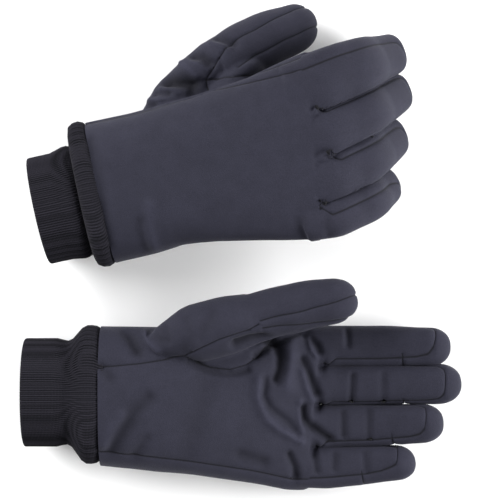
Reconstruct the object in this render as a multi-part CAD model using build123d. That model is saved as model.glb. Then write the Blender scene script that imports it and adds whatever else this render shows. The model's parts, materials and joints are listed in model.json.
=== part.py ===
from build123d import *
import os
from math import radians, sqrt, tan

# A pair of insulated gloves with ribbed knit cuffs, lying on a flat surface: the
# left one on its back with the palm up, the right one palm down with its fingers
# bent. Millimetres and degrees. Each glove is drawn as a right glove in its own
# frame: X towards the fingertips, Y towards the thumb, Z out of the back of the
# hand, X = 0 at the seam between the shell and the cuff.

# Fabric
shell_wall = 2.2          # softshell outer fabric
liner_wall = 1.8          # insulating fleece liner
liner_gap = 0.3           # air between shell and liner
hinge_gap = 0.6           # between the fabric panels on either side of a bend

# Hand, three sections from the wrist to the finger crotches
wrist_width = 86.0
wrist_depth = 55.0
palm_station = 70.0       # from the wrist seam
palm_radial = 47.0        # thumb side edge
palm_ulnar = 47.5         # little finger side edge
palm_depth = 43.0
crotch_station = 142.0    # finger crotches, on the middle of the hand
crotch_tilt = 3.0         # the crotches lie nearer the wrist towards the little finger
crotch_radial = 53.5
crotch_ulnar = 53.0
crotch_depth = 28.0
back_level = 15.5         # the back of the hand is nearly flat, this far above the finger axes

# Fingers: all four hang from one line of knuckle hinges just past the crotches
knuckle_ahead = 8.5       # from the crotches to the knuckle hinges
finger_pitch = 26.8       # centre to centre
index_offset = 40.3       # index finger axis from the axis of the hand
finger_names = ["index", "middle", "ring", "little"]
finger_length = {"index": 79.0, "middle": 88.0, "ring": 80.0, "little": 64.0}
middle_joint = {"index": 27.0, "middle": 28.0, "ring": 27.0, "little": 24.0}
finger_radii = {"index": (12.9, 12.6, 11.6), "middle": (12.7, 12.4, 11.4),
                "ring": (12.5, 12.1, 11.1), "little": (12.5, 11.8, 10.4)}
finger_roll = {"index": 2.0, "middle": 5.0, "ring": 7.0, "little": 9.0}
stub_length = 22.0        # of each finger's root, from its hinge back into the hand

# Thumb
thumb_length = 63.0
thumb_middle = 25.0
thumb_radii = (15.4, 15.0, 13.6)
thumb_roll = -40.0        # the thumb bends across the palm
thenar_length = 68.0      # the ball of the thumb, from its hinge back into the hand
thenar_radius = 17.5      # at its fullest
thenar_end_radius = 8.0
stub_overlap = 6.0        # of each root past its hinge, before the bend is cut

# Bends, counted from a straight digit
knuckle_bend = {"thumb": 42.0, "index": 50.0, "middle": 52.0, "ring": 55.0, "little": 55.0}
middle_bend = {"thumb": 48.0, "index": 62.0, "middle": 62.0, "ring": 62.0, "little": 62.0}
cuff_bend = 20.0          # of the cuff, each way

# Seams
seam_level = 6.4          # back and front seams, above and below the finger axes
thenar_seam = 22.0        # palm seam beside the ball of the thumb
thumb_seam_start = 58.0   # where the inner thumb panel starts, from the wrist seam
thumb_crotch = 110.0      # where the thumb panels end

# Cuff
cuff_width = 70.0
cuff_depth = 54.0
cuff_length = 46.5
roll_length = 15.0        # the slack roll of knit next to the shell
ply_wall = 1.5
ply_gap = 0.3
tape_length = 8.0         # seam tape inside the shell
tape_wall = 1.4
tape_inset = 3.5          # clear of the cuff at the hinge

# The two gloves as they lie. The right one stands on its cuff and fingertips.
wrist_place = {"left": (-98.4, -91.4), "right": (-96.5, 37.5)}
hand_yaw = {"left": -2.5, "right": 8.5}
hand_pitch = {"left": 0.0, "right": 10.8}
cuff_yaw = {"left": 2.5, "right": 4.0}
finger_yaw = {"left": {"index": 3.0, "middle": 3.0, "ring": 4.0, "little": 6.0},
              "right": {"index": 12.3, "middle": 11.0, "ring": 11.0, "little": 11.0}}
thumb_hinge = {"left": (102.0, 54.0, -29.0), "right": (90.5, 73.5, -27.0)}
thumb_yaw = {"left": 17.0, "right": 18.0}
thumb_drop = {"left": 3.0, "right": 17.0}
thenar_yaw = {"left": 17.0, "right": 34.0}    # the right thumb is spread further from the hand
thenar_drop = {"left": 3.0, "right": 4.0}
knuckle_rest = {"left": {"thumb": 5.0, "index": 5.0, "middle": 6.0, "ring": 8.0, "little": 8.0},
                "right": {"thumb": 8.0, "index": 30.0, "middle": 31.0, "ring": 32.0, "little": 32.0}}
middle_rest = {"left": {"thumb": 6.0, "index": 7.0, "middle": 7.0, "ring": 9.0, "little": 9.0},
               "right": {"thumb": 8.0, "index": 46.0, "middle": 46.0, "ring": 47.0, "little": 45.0}}
lift_travel = 120.0

digits = ["thumb"] + finger_names
wrist_centre = back_level - wrist_depth / 2    # Z of the wrist hinge
liner_inset = shell_wall + liner_gap
reach = 300.0             # larger than the glove, for cutting blocks


def block(x=(-reach, reach), y=(-reach, reach), z=(-reach, reach)):
    """A cutting block between the given pairs of limits."""
    size = (x[1] - x[0], y[1] - y[0], z[1] - z[0])
    middle = ((x[0] + x[1]) / 2, (y[0] + y[1]) / 2, (z[0] + z[1]) / 2)
    return Pos(*middle) * Box(*size)


def turn(yaw=0.0, pitch=0.0, roll=0.0):
    """Yaw, then pitch, then roll; a positive pitch lowers the fingertips."""
    return Rot(0, 0, yaw) * Rot(0, pitch, 0) * Rot(roll, 0, 0)


def hinge_line(side, name):
    """Where a digit's knuckle hinge is, in the glove's frame."""
    if name == "thumb":
        return thumb_hinge[side]
    y = index_offset - finger_pitch * finger_names.index(name)
    return (crotch_station + y * tan(radians(crotch_tilt)) + knuckle_ahead, y, 0)


def root_frame(side, name):
    """Frame of a straight digit: X along it from the knuckle hinge, Z to its back."""
    if name == "thumb":
        heading = turn(thumb_yaw[side], thumb_drop[side], thumb_roll)
    else:
        heading = turn(finger_yaw[side][name], 0, finger_roll[name])
    return Pos(*hinge_line(side, name)) * heading


def stub_frame(side, name):
    """Frame of a digit's root inside the hand: the ball of the thumb has its own heading."""
    if name == "thumb":
        return Pos(*thumb_hinge[side]) * turn(thenar_yaw[side], thenar_drop[side], thumb_roll)
    return root_frame(side, name)


def base_frame(side, name):
    return root_frame(side, name) * Rot(0, knuckle_rest[side][name], 0)


def tip_frame(side, name):
    bend = Pos(digit_middle(name), 0, 0) * Rot(0, middle_rest[side][name], 0)
    return base_frame(side, name) * bend


def wrist_frame(side):
    """Frame of the wrist hinge with the cuff straight; Y is its axis."""
    return Pos(0, 0, wrist_centre) * turn(cuff_yaw[side])


def cuff_frame(side):
    """The cuff lies level, whatever the pitch of the hand."""
    return wrist_frame(side) * Rot(0, hand_pitch[side], 0)


def digit_middle(name):
    return thumb_middle if name == "thumb" else middle_joint[name]


def digit_length(name):
    return thumb_length if name == "thumb" else finger_length[name]


def digit_radii(name):
    return thumb_radii if name == "thumb" else finger_radii[name]


def digit_solid(name, inset):
    """A straight digit with its root, round about X, drawn in by inset."""
    knuckle, middle, tip = [radius - inset for radius in digit_radii(name)]
    end = digit_length(name) - inset
    if name == "thumb":
        back = [(-thenar_length + inset, thenar_end_radius - inset),
                (-thenar_length * 0.62, thenar_radius - inset),
                (-thenar_length * 0.3, thenar_radius - inset)]
    else:
        back = [(-stub_length + inset, knuckle)]
    start = back[0][0]
    outline = [(start, 0)] + back + [(0, knuckle), (digit_middle(name), middle), (end - tip, tip)]
    line = Polyline(*outline)
    bulge = tip * sqrt(0.5)
    nose = ThreePointArc((end - tip, tip), (end - tip + bulge, bulge), (end, 0))
    close = Line((end, 0), (start, 0))
    return revolve(make_face([*line.edges(), nose, close]), axis=Axis.X)


def bend_cut(name, station, bend):
    """The room for one bend: a slit across the back, a wedge on the palm side."""
    side_width = 2 * digit_radii(name)[0] + 2
    depth = 1.6 * digit_radii(name)[0]
    half_gap = hinge_gap / 2
    spread = half_gap + depth * tan(radians(bend / 2))
    profile = Plane.XZ * Polyline((-half_gap, depth), (half_gap, depth), (half_gap, 0),
                                  (spread, -depth), (-spread, -depth), (-half_gap, 0), close=True)
    return Pos(station, 0, 0) * extrude(make_face(profile), amount=side_width / 2, both=True)


def digit_cuts(name):
    knuckle = bend_cut(name, 0, knuckle_bend[name])
    middle = bend_cut(name, digit_middle(name), middle_bend[name])
    return knuckle + middle


def digit_parts(name):
    """Shell panels and liner of a digit's base and tip, straight, in its root frame."""
    cuts = digit_cuts(name)
    shell = digit_solid(name, 0) - digit_solid(name, shell_wall) - cuts
    liner = digit_solid(name, liner_inset) - digit_solid(name, liner_inset + liner_wall) - cuts
    middle = digit_middle(name)
    base, tip = block(x=(0, middle)), block(x=(middle, reach))
    back, front = block(z=(seam_level, reach)), block(z=(-reach, -seam_level))
    radial = block(y=(0, reach), z=(-seam_level, seam_level))
    ulnar = block(y=(-reach, 0), z=(-seam_level, seam_level))
    wrap = block(z=(-seam_level, seam_level))
    above, below = block(z=(0, reach)), block(z=(-reach, 0))
    return {"base_panels": [shell & base & region for region in (back, front, radial, ulnar)],
            "base_liner": [liner & base & half for half in (above, below)],
            "tip_panels": [shell & tip & region for region in (back, front, wrap)],
            "tip_liner": [liner & tip & half for half in (above, below)]}


def oval(plane, width, depth):
    return plane * SlotOverall(width, depth)


def hand_block(inset):
    """The hand from the wrist seam to the crotches, drawn in by inset."""
    palm_middle = (palm_radial - palm_ulnar) / 2
    crotch_middle = (crotch_radial - crotch_ulnar) / 2
    tilt = tan(radians(crotch_tilt))
    stations = [
        (Plane((0, 0, wrist_centre), x_dir=(0, 1, 0), z_dir=(1, 0, 0)),
         wrist_width, wrist_depth),
        (Plane((palm_station, palm_middle, back_level - palm_depth / 2),
               x_dir=(0, 1, 0), z_dir=(1, 0, 0)), palm_radial + palm_ulnar, palm_depth),
        (Plane((crotch_station - inset, crotch_middle, 0), x_dir=(tilt, 1, 0), z_dir=(1, -tilt, 0)),
         crotch_radial + crotch_ulnar, crotch_depth)]
    faces = [oval(plane, width - 2 * inset, depth - 2 * inset) for plane, width, depth in stations]
    hand = loft(faces, ruled=True)
    if inset:
        mouth = extrude(faces[0], amount=-palm_station / 2, dir=(1, 0, 0))
        hand = hand + mouth
    return hand


def wrist_cut():
    """The room for the cuff to bend either way: a bow tie, in the hinge's frame."""
    half_gap = hinge_gap / 2
    spread = half_gap + wrist_depth * tan(radians(cuff_bend / 2))
    outline = Polyline((-half_gap, 0), (-spread, wrist_depth), (spread, wrist_depth), (half_gap, 0),
                       (spread, -wrist_depth), (-spread, -wrist_depth), close=True)
    profile = make_face(Plane.XZ * outline)
    return extrude(profile, amount=wrist_width, both=True)


def hand_volume(side, inset):
    """The hand block with the roots of its five digits."""
    volume = hand_block(inset)
    for name in digits:
        root = digit_solid(name, inset) & block(x=(-reach, stub_overlap))
        volume = volume + stub_frame(side, name) * root
    return volume


def hand_parts(side):
    """Sewn panels and liner of the hand, and the tape over the wrist seam."""
    wrist_room = wrist_frame(side) * (wrist_cut() + block(x=(-reach, 0)))
    cuts = wrist_room
    for name in digits:
        past_hinge = block(x=(0, 2 * stub_length), y=(-finger_pitch / 2, finger_pitch / 2),
                           z=(-finger_pitch / 2, finger_pitch / 2))
        if name == "thumb":
            past_hinge = block(x=(0, stub_length), y=(-thenar_radius, thenar_radius),
                               z=(-thenar_radius, thenar_radius))
        opening = bend_cut(name, 0, knuckle_bend[name]) + past_hinge
        cuts = cuts + root_frame(side, name) * opening
    outer, inner = hand_volume(side, 0), hand_volume(side, shell_wall)
    shell = outer - inner - cuts

    thumb_zone = block(x=(-reach, thumb_crotch), y=(thenar_seam, reach), z=(-reach, seam_level))
    inner_zone = block(x=(thumb_seam_start, thumb_crotch), y=(thenar_seam, reach),
                       z=(-reach, thumb_hinge[side][2] + thumb_radii[0] / 2))
    gusset_zone = block(x=(thumb_crotch, reach), y=(index_offset, reach),
                        z=(-seam_level, seam_level))
    palm_zone = block(z=(-reach, -seam_level))
    thumb_inner = shell & inner_zone
    thumb_outer = (shell & thumb_zone) - inner_zone
    side_gusset = shell & gusset_zone
    palm = (shell & palm_zone) - thumb_zone
    back = shell - palm_zone - thumb_zone - gusset_zone

    tape_end = tape_inset + tape_length
    liner = hand_volume(side, liner_inset) - hand_volume(side, liner_inset + liner_wall) - cuts
    liner = liner & block(x=(tape_end + liner_gap, reach))
    tape = hand_block(liner_inset) - hand_block(liner_inset + tape_wall) - wrist_room
    tape = tape & block(x=(tape_inset, tape_end))
    return {"back_panel": [back], "palm_panel": [palm], "thumb_outer_panel": [thumb_outer],
            "thumb_inner_panel": [thumb_inner], "side_gusset": [side_gusset],
            "hand_liner": [liner], "wrist_seam_tape": [tape]}


def cuff_volume(inset, open_end):
    """The cuff about its own axis, from the wrist seam back to its folded edge."""
    stations = [(0, wrist_width, wrist_depth), (-0.6 * roll_length, wrist_width, wrist_depth),
                (-roll_length, cuff_width, cuff_depth), (-cuff_length, cuff_width, cuff_depth)]
    faces = []
    for x, width, depth in stations:
        plane = Plane((x, 0, 0), x_dir=(0, 1, 0), z_dir=(1, 0, 0))
        faces.append(oval(plane, width - 2 * inset, depth - 2 * inset))
    volume = loft(faces, ruled=True)
    if open_end:
        volume = volume + extrude(faces[-1], amount=ply_wall, dir=(-1, 0, 0))
        volume = volume + extrude(faces[0], amount=ply_wall, dir=(1, 0, 0))
    return volume


def cuff_parts():
    """One knit tube folded double at the open end: an outer and an inner ply."""
    inner_inset = ply_wall + ply_gap
    outer = cuff_volume(0, False) - cuff_volume(ply_wall, True) - wrist_cut()
    inner = cuff_volume(inner_inset, False) - cuff_volume(inner_inset + ply_wall, True)
    inner = inner - wrist_cut()
    return {"cuff_outer_ply": [outer], "cuff_inner_ply": [inner]}


def placing(side):
    """From the glove's frame, flipped over for the left glove, to the pair's."""
    x, y = wrist_place[side]
    centre = wrist_centre if side == "right" else -wrist_centre
    heading = turn(hand_yaw[side], -hand_pitch[side])
    return Pos(x, y, wrist_depth / 2) * heading * Pos(0, 0, -centre)


def placed(side, shape):
    """A left glove is the right one mirrored through the plane of the hand."""
    if side == "left":
        shape = mirror(shape, about=Plane.XY)
    return placing(side) * shape


def glove(side, digit_shapes, cuff_shapes):
    nodes = {}
    for name, shapes in hand_parts(side).items():
        nodes[name] = shapes
    for name, shapes in cuff_shapes.items():
        nodes[name] = [cuff_frame(side) * shape for shape in shapes]
    for digit in digits:
        for part, shapes in digit_shapes[digit].items():
            back = Pos(-digit_middle(digit), 0, 0)
            base = base_frame(side, digit)
            frame = base if part.startswith("base") else tip_frame(side, digit) * back
            nodes[f"{digit}_{part}"] = [frame * shape for shape in shapes]
    return {f"{side}_{name}": [placed(side, shape) for shape in shapes]
            for name, shapes in nodes.items()}


def hinge(side, frame):
    """A hinge's point and axis in the pair's frame; it turns towards the palm."""
    centre, ahead = Vector(frame.position), Vector((frame * Pos(0, 1, 0)).position)
    axis = ahead - centre
    if side == "left":
        centre = Vector(centre.X, centre.Y, -centre.Z)
        axis = Vector(-axis.X, -axis.Y, axis.Z)
    place = placing(side)
    point = Vector((place * Pos(*centre)).position)
    far = Vector((place * Pos(*(centre + axis))).position)
    return point, far - point


def hinges(side):
    lines = {f"{side}_wrist": hinge(side, cuff_frame(side))}
    for digit in digits:
        lines[f"{side}_{digit}_knuckle"] = hinge(side, base_frame(side, digit))
        lines[f"{side}_{digit}_middle"] = hinge(side, tip_frame(side, digit))
    return lines


digit_shapes = {name: digit_parts(name) for name in digits}
cuff_shapes = cuff_parts()
nodes = {}
for side in ("left", "right"):
    nodes.update(glove(side, digit_shapes, cuff_shapes))

# The origin is under the middle of the pair, on the surface that it lies on.
box = Compound(children=[solid for shapes in nodes.values()
                         for shape in shapes for solid in shape.solids()]).bounding_box()
shift = Vector(-(box.min.X + box.max.X) / 2, -(box.min.Y + box.max.Y) / 2, -box.min.Z)

os.makedirs("parts", exist_ok=True)
for name, shapes in nodes.items():
    solids = [Pos(*shift) * solid for shape in shapes for solid in shape.solids()]
    export_step(Compound(children=solids), f"parts/{name}.step")
    print("node", name, len(solids), [round(solid.volume) for solid in solids])

for side in ("left", "right"):
    for name, (point, axis) in hinges(side).items():
        point = point + shift
        print("hinge", name, *[round(value, 5) for value in (*point, *axis)])
    bends = {"knuckle": (knuckle_bend, knuckle_rest[side]), "middle": (middle_bend, middle_rest[side])}
    for digit in digits:
        for joint, (most, rest) in bends.items():
            print("range", f"{side}_{digit}_{joint}", -rest[digit], most[digit] - rest[digit])
    print("range", f"{side}_wrist", -cuff_bend - hand_pitch[side], cuff_bend - hand_pitch[side])
print("lift", lift_travel)
print("box", [round(value, 2) for value in box.size])
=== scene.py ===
import json
import math
import bpy
import bmesh
import numpy as np
from mathutils import Matrix, Vector, noise


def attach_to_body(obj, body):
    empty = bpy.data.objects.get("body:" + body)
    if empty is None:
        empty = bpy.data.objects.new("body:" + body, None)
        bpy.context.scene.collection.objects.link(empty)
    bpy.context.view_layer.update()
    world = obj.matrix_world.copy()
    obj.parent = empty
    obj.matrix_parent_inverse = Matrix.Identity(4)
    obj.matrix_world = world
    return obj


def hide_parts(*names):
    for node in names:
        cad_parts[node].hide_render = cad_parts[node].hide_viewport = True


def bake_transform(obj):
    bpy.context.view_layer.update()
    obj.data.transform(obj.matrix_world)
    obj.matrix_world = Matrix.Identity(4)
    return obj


# Pair of insulated softshell gloves with ribbed knit cuffs. Each glove is shaped as a
# straight right glove in millimetres: X to the fingertips, Y to the thumb, Z out of the
# back of the hand, then bent, creased, cut along its seams and put in its place.

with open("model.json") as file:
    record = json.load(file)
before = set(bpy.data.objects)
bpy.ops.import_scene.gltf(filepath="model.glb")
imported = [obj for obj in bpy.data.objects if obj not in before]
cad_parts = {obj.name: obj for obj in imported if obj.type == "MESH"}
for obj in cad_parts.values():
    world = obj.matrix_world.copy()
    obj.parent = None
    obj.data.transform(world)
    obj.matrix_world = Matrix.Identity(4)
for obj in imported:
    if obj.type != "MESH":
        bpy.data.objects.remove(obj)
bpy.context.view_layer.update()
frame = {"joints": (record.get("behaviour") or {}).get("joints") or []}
joints = {joint["name"]: joint for joint in frame["joints"]}
mm = 0.001
sides = ("left", "right")
fingerNames = ("index", "middle", "ring", "little")
digitNames = ("thumb",) + fingerNames

gloves = {
    "left": {"yaw": -2.5, "pitch": 0.0, "cuffYaw": 2.5, "wristEdge": 4.0},
    "right": {"yaw": 8.5, "pitch": 10.8, "cuffYaw": 4.0, "wristEdge": 1.5},
}
wristLevel = -12.0     # middle of the wrist, below the finger axes

crotchTilt = math.tan(math.radians(3.0))
hand = {
    "left": {"stations": (-12, 0, 35, 70, 105, 128, 139),
             "radial": (41, 43, 44, 46, 48.5, 51, 50.5),
             "ulnar": (42, 45, 47, 49.5, 53.5, 57, 57),
             "back": (15.3, 15.4, 15.5, 15.5, 15.2, 14.2, 12.8),
             "palm": (39, 39.5, 35, 29, 22, 17, 13.5),
             "power": (2.5, 2.5, 2.7, 2.8, 2.8, 2.7, 2.6)},
    "right": {"stations": (-12, 0, 30, 50, 75, 105, 130, 143),
              "radial": (42, 44, 45, 47, 49.5, 54, 61, 64),
              "ulnar": (46.5, 47.5, 45, 42, 43, 47, 50, 51.5),
              "back": (15.3, 15.4, 15.5, 15.5, 15.5, 15.2, 14.2, 12.8),
              "palm": (39, 39.5, 36, 32, 28, 22, 17, 13.5),
              "power": (2.5, 2.5, 2.7, 2.7, 2.8, 2.8, 2.7, 2.6)},
}

# roll of the bending axis, roll and height of the two long seams, which sides have a
# neighbour, the cross seam, where base and tip are split and blended, and the blunt end
digits = {
    "thumb": {"middle": 25, "roll": -40, "split": (5, 24.5), "zones": ((5, 24), (25, 48)),
              "power": 2.1, "nose": 17},
    "index": {"middle": 27, "roll": 2, "seamRoll": (30, 30), "level": (6.2, 8.8, 12.0),
              "joined": (-99, 0), "cross": 43, "split": (-8, 13),
              "zones": ((-8, 12.5), (14, 40)), "power": 2.7, "nose": 15},
    "middle": {"middle": 28, "roll": 5, "seamRoll": (12, 16), "level": (6.2, 8.6, 12.0),
               "joined": (-99, 99), "cross": 46, "split": (-8, 13),
               "zones": ((-8, 12.5), (15, 41)), "power": 2.7, "nose": 15},
    "ring": {"middle": 27, "roll": 7, "seamRoll": (24, 33), "level": (6.2, 8.4, 12.0),
             "joined": (-99, 99), "cross": 42, "split": (-8, 13),
             "zones": ((-8, 12.5), (14, 40)), "power": 2.7, "nose": 14.5},
    "little": {"middle": 24, "roll": 9, "seamRoll": (40, 50), "level": (6.0, 7.8, 11.5),
               "joined": (0, 99), "cross": 25, "split": (-8, 13),
               "zones": ((-8, 12.5), (13.5, 37)), "power": 2.6, "nose": 14},
}
levelMarks = (-21, -14, -10, -8)     # from the fingertip, where the seams' height changes
levelBefore = 7.0                    # height at the second mark
thumbSeams = {         # stations, then the outer and the inner seam across
    "left": ((-6, 0, 30, 52, 60), (-2, -2, -2.5, 0, 1.5), (-6, -7, -11.5, -12, -12)),
    "right": ((-6, 0, 8, 30, 52, 62), (2, 5, 6, 7, 9.5, 9), (-8, -9, -9, -8.5, -6.5, -6)),
}
# fingers are drawn narrower past their crotches, so that they stay apart until they bend
squeeze = 0.88         # share of the width that is kept
squeezeFirst = 0.93    # the same at the crotch
squeezeMarks = (-1, 0, 5)
touching = {"left": 1.1, "right": 1.05}     # share of the width once they are swelled again
swell = {"before": 1.5, "over": 4}          # where that starts, and its length
webs = {"left": (-6.5, -6.5, -6.5), "right": (-4.0, 0.5, -6.0)}   # floors of the crotches
webFade = 7            # length over which the walls grow from a crotch
bendStart = {"left": -7.0, "right": -4.5}
bendSpread = {"knuckle": 5, "before": 7, "after": 9}    # cloth bends over more than the joint
crotchLine = 150.5
fingerRoot = 18        # of a finger behind its hinge
thumbRootLength = 6
web = {"radius": 14, "place": (-9, -19, 2), "reach": 26, "across": 0.75, "up": 1.2}
filler = {"start": -12, "wide": 3, "deep": 11.9, "power": 2.6, "short": 1.5}
claim = {"behind": -9.5, "height": 24, "thumb": 19, "thumbAcross": 0.85}    # of a digit's points

# each digit as it lies: heading, bends at its two joints, sideways shift of root and
# tip from the hinge, half widths and half depths at root, middle and tip, and length
lies = {
    "left": {
        "thumb": {"yaw": 20, "drop": 3, "bend": (5, 6), "shift": (0, 0),
                  "wide": (15.8, 15.6, 14.4), "deep": (15.4, 15.0, 13.0), "length": 63},
        "index": {"yaw": 3, "drop": 0, "bend": (5, 7), "shift": (-3.2, -4.2),
                  "wide": (12.8, 12.8, 12.0), "deep": (12.9, 12.4, 10.8), "length": 73},
        "middle": {"yaw": 3, "drop": 0, "bend": (6, 7), "shift": (-1.8, -2.4),
                   "wide": (12.2, 12.2, 11.6), "deep": (12.7, 12.2, 10.8), "length": 82.5},
        "ring": {"yaw": 4, "drop": 0, "bend": (8, 9), "shift": (-1.6, -2.2),
                 "wide": (12.9, 12.4, 11.4), "deep": (12.5, 12.0, 10.5), "length": 74},
        "little": {"yaw": 6, "drop": 0, "bend": (8, 9), "shift": (-2.2, -2.6),
                   "wide": (13.6, 12.6, 10.8), "deep": (12.4, 11.7, 9.8), "length": 58.5},
    },
    "right": {
        "thumb": {"yaw": 25.5, "drop": 16.5, "bend": (8, 8), "shift": (-5, -0.8),
                  "wide": (18, 18.2, 15.8), "deep": (15.4, 15.0, 13.0), "length": 66.5},
        "index": {"yaw": 12.3, "drop": 0, "bend": (28, 37), "shift": (4.5, 8),
                  "wide": (18.8, 16.8, 13.6), "deep": (12.9, 12.4, 11.2), "length": 82},
        "middle": {"yaw": 11, "drop": 0, "bend": (29, 38), "shift": (-1.5, 8),
                   "wide": (14.0, 13.8, 12.8), "deep": (12.7, 12.2, 11.2), "length": 89},
        "ring": {"yaw": 11, "drop": 0, "bend": (31, 39), "shift": (-2.5, 6.5),
                 "wide": (13.8, 13.8, 12.8), "deep": (12.5, 12.0, 11.0), "length": 84},
        "little": {"yaw": 11, "drop": 0, "bend": (31, 39), "shift": (-0.6, 3.5),
                   "wide": (11.4, 12.6, 12.0), "deep": (12.3, 11.6, 10.4), "length": 68},
    },
}
thenar = {             # the root of the thumb, back along its own heading
    "left": {"yaw": 17, "drop": 3, "radii": (1, 10, 18.5, 18.5, 16.0, 10)},
    "right": {"yaw": 34, "drop": 4, "radii": (1, 9, 15.5, 15.5, 14.5, 9)},
    "stations": (-76, -64, -44, -20, -3, 6),
}

# seams of the hand, as points along the hand and across it
seams = {
    "backRadial": ((-10, 43), (20, 43.5), (35, 44), (48, 45.5), (68, 48), (85, 50.5),
                   (112, 50.5), (137, 51.5), (146, 53)),
    "strip": ((79, 57.5), (92, 58.5), (97, 57), (110, 56), (123, 57), (136, 59), (149, 62)),
    "ulnar": ((-10, -33), (7, -35), (38, -37), (69, -40), (100, -44), (126, -49), (145, -49)),
    "thenar": ((-10, 18), (10, 19.5), (29, 22), (47, 25.5), (56, 27)),
    "thumbUpper": ((56, 27), (66, 33), (78, 39.5), (96, 46), (107, 53.5)),
    "thumbLower": ((56, 27), (61, 24), (73, 20.5), (85, 19.5), (95, 23), (102, 29),
                   (110, 38), (118, 50)),
}
thumbFork = 56         # where the thumb's seams part
thumbEnd = 118
gussetStart = 108
gussetEdge = 38        # thumb side of it
sideways = 0.15        # a face that looks up or down less than this is a side
thumbRoot = ((51, 79), (58, 80), (62, 83.5), (68, 88), (72, 92), (80, 98))   # across, then along

shell = {"voxel": 1.15, "soften": 6, "apart": 1.0, "wall": 1.9, "groove": 0.75, "grooveWidth": 0.85,
         "valley": 0.5, "valleyWidth": 3.6, "ripple": 0.45, "rippleLength": 22.0}
lining = {"voxel": 2.2, "soften": 4, "apart": 0.84, "inset": 2.2, "wall": 1.3,
          "tapeStart": 8.0, "tapeEnd": 15.5}
farSeam = 50.0         # distance noted where there is no seam
creases = {
    "left": {"strength": 2.0, "reach": -0.25, "slope": -1.6},
    "right": {"strength": 2.5, "reach": -0.1, "slope": 1.6},
}
# painted shade and painted highlight: the cloth is darkened in the folds and lightened on the ridges
shadeDepth = 5         # depth of a fold at which the shade painted into its cloth is darkest
shadeLeast = -0.5


def smoothStep(values):
    t = np.clip(values, 0.0, 1.0)
    return t * t * (3 - 2 * t)


def turned(yaw, pitch=0.0, roll=0.0):
    about = [(yaw, "Z"), (pitch, "Y"), (roll, "X")]
    result = Matrix.Identity(4)
    for angle, axis in about:
        result = result @ Matrix.Rotation(math.radians(angle), 4, axis)
    return result


def gloveMatrix(side):     # glove millimetres to the pair's metres
    glove = gloves[side]
    place = Matrix.Translation(joints[side + "_wrist"]["pos_m"])
    flip = Matrix.Diagonal((1, 1, -1 if side == "left" else 1, 1))
    lift = Matrix.Translation((0, 0, -wristLevel))
    return place @ turned(glove["yaw"], -glove["pitch"]) @ Matrix.Scale(mm, 4) @ flip @ lift


def cuffMatrix(side):      # cuff millimetres to the glove's
    glove = gloves[side]
    return Matrix.Translation((0, 0, wristLevel)) @ turned(glove["cuffYaw"], glove["pitch"])


def hingePoint(side, name):
    point = Vector(joints[f"{side}_{name}_knuckle"]["pos_m"])
    return gloveMatrix(side).inverted() @ point


def digitMatrix(side, name):
    lie = lies[side][name]
    return Matrix.Translation(hingePoint(side, name)) @ turned(lie["yaw"], lie["drop"])


def applied(matrix, points):
    m = np.array(matrix)
    return points @ m[:3, :3].T + m[:3, 3]


def localPoints(side, name, points):
    return applied(digitMatrix(side, name).inverted(), points)


# ---- blanks: closed bodies joined by a voxel remesh

def ringPoint(angle, ring, ulnarWide=None):
    x, across, up, wide, top, bottom, power = ring
    c, s = math.cos(angle), math.sin(angle)
    y = math.copysign(abs(c) ** (2 / power), c) * (wide if c > 0 or ulnarWide is None else ulnarWide)
    z = math.copysign(abs(s) ** (2 / power), s) * (top if s > 0 else bottom)
    return Vector((x, across + y, up + z))


def addTube(bm, place, rings, segments=48):
    ring = bmesh.ops.create_circle(bm, segments=segments, radius=1, cap_ends=True)["verts"]
    angles = [math.atan2(vert.co.y, vert.co.x) for vert in ring]
    edges = [edge for edge in bm.edges if edge.verts[0] in ring and edge.verts[1] in ring]
    for count, station in enumerate(rings):
        if count:
            grown = bmesh.ops.extrude_edge_only(bm, edges=edges)["geom"]
            fresh = {item for item in grown if isinstance(item, bmesh.types.BMVert)}
            edges = [item for item in grown if isinstance(item, bmesh.types.BMEdge)
                     and item.verts[0] in fresh and item.verts[1] in fresh]
            ring = [next(edge.other_vert(vert) for edge in vert.link_edges
                         if edge.other_vert(vert) in fresh) for vert in ring]
        for vert, angle in zip(ring, angles):
            vert.co = place @ station(angle)
    bmesh.ops.contextual_create(bm, geom=edges)


def handRings(side):
    form = hand[side]
    rings = []
    for x in np.linspace(form["stations"][0], form["stations"][-1], 26):
        radial, ulnar, back, palm, power = [np.interp(x, form["stations"], form[key])
                                            for key in ("radial", "ulnar", "back", "palm", "power")]
        level = (back - palm) / 2
        ring = (x, (radial - ulnar) / 2, level, (radial + ulnar) / 2, back - level, palm + level, power)
        def station(angle, ring=ring, lean=crotchTilt * max(x, 0) / form["stations"][-1]):
            point = ringPoint(angle, ring)
            point.x += point.y * lean
            return point
        rings.append(station)
    return rings


def webFloor(side, name, across):     # of the crotch on that side of the finger
    number = fingerNames.index(name)
    floors = webs[side]
    return np.where(across > 0, floors[max(number - 1, 0)], floors[min(number, 2)])


def narrowed(side, name, x, across):     # share of the width that a parted finger keeps
    if name == "thumb":
        return 1.0
    beyond = x - webFloor(side, name, across)
    share = np.interp(beyond, squeezeMarks, (1.0, squeezeFirst, squeeze))
    joined = digits[name]["joined"]
    return np.where((across > joined[0]) & (across < joined[1]), share, 1.0)


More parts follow.
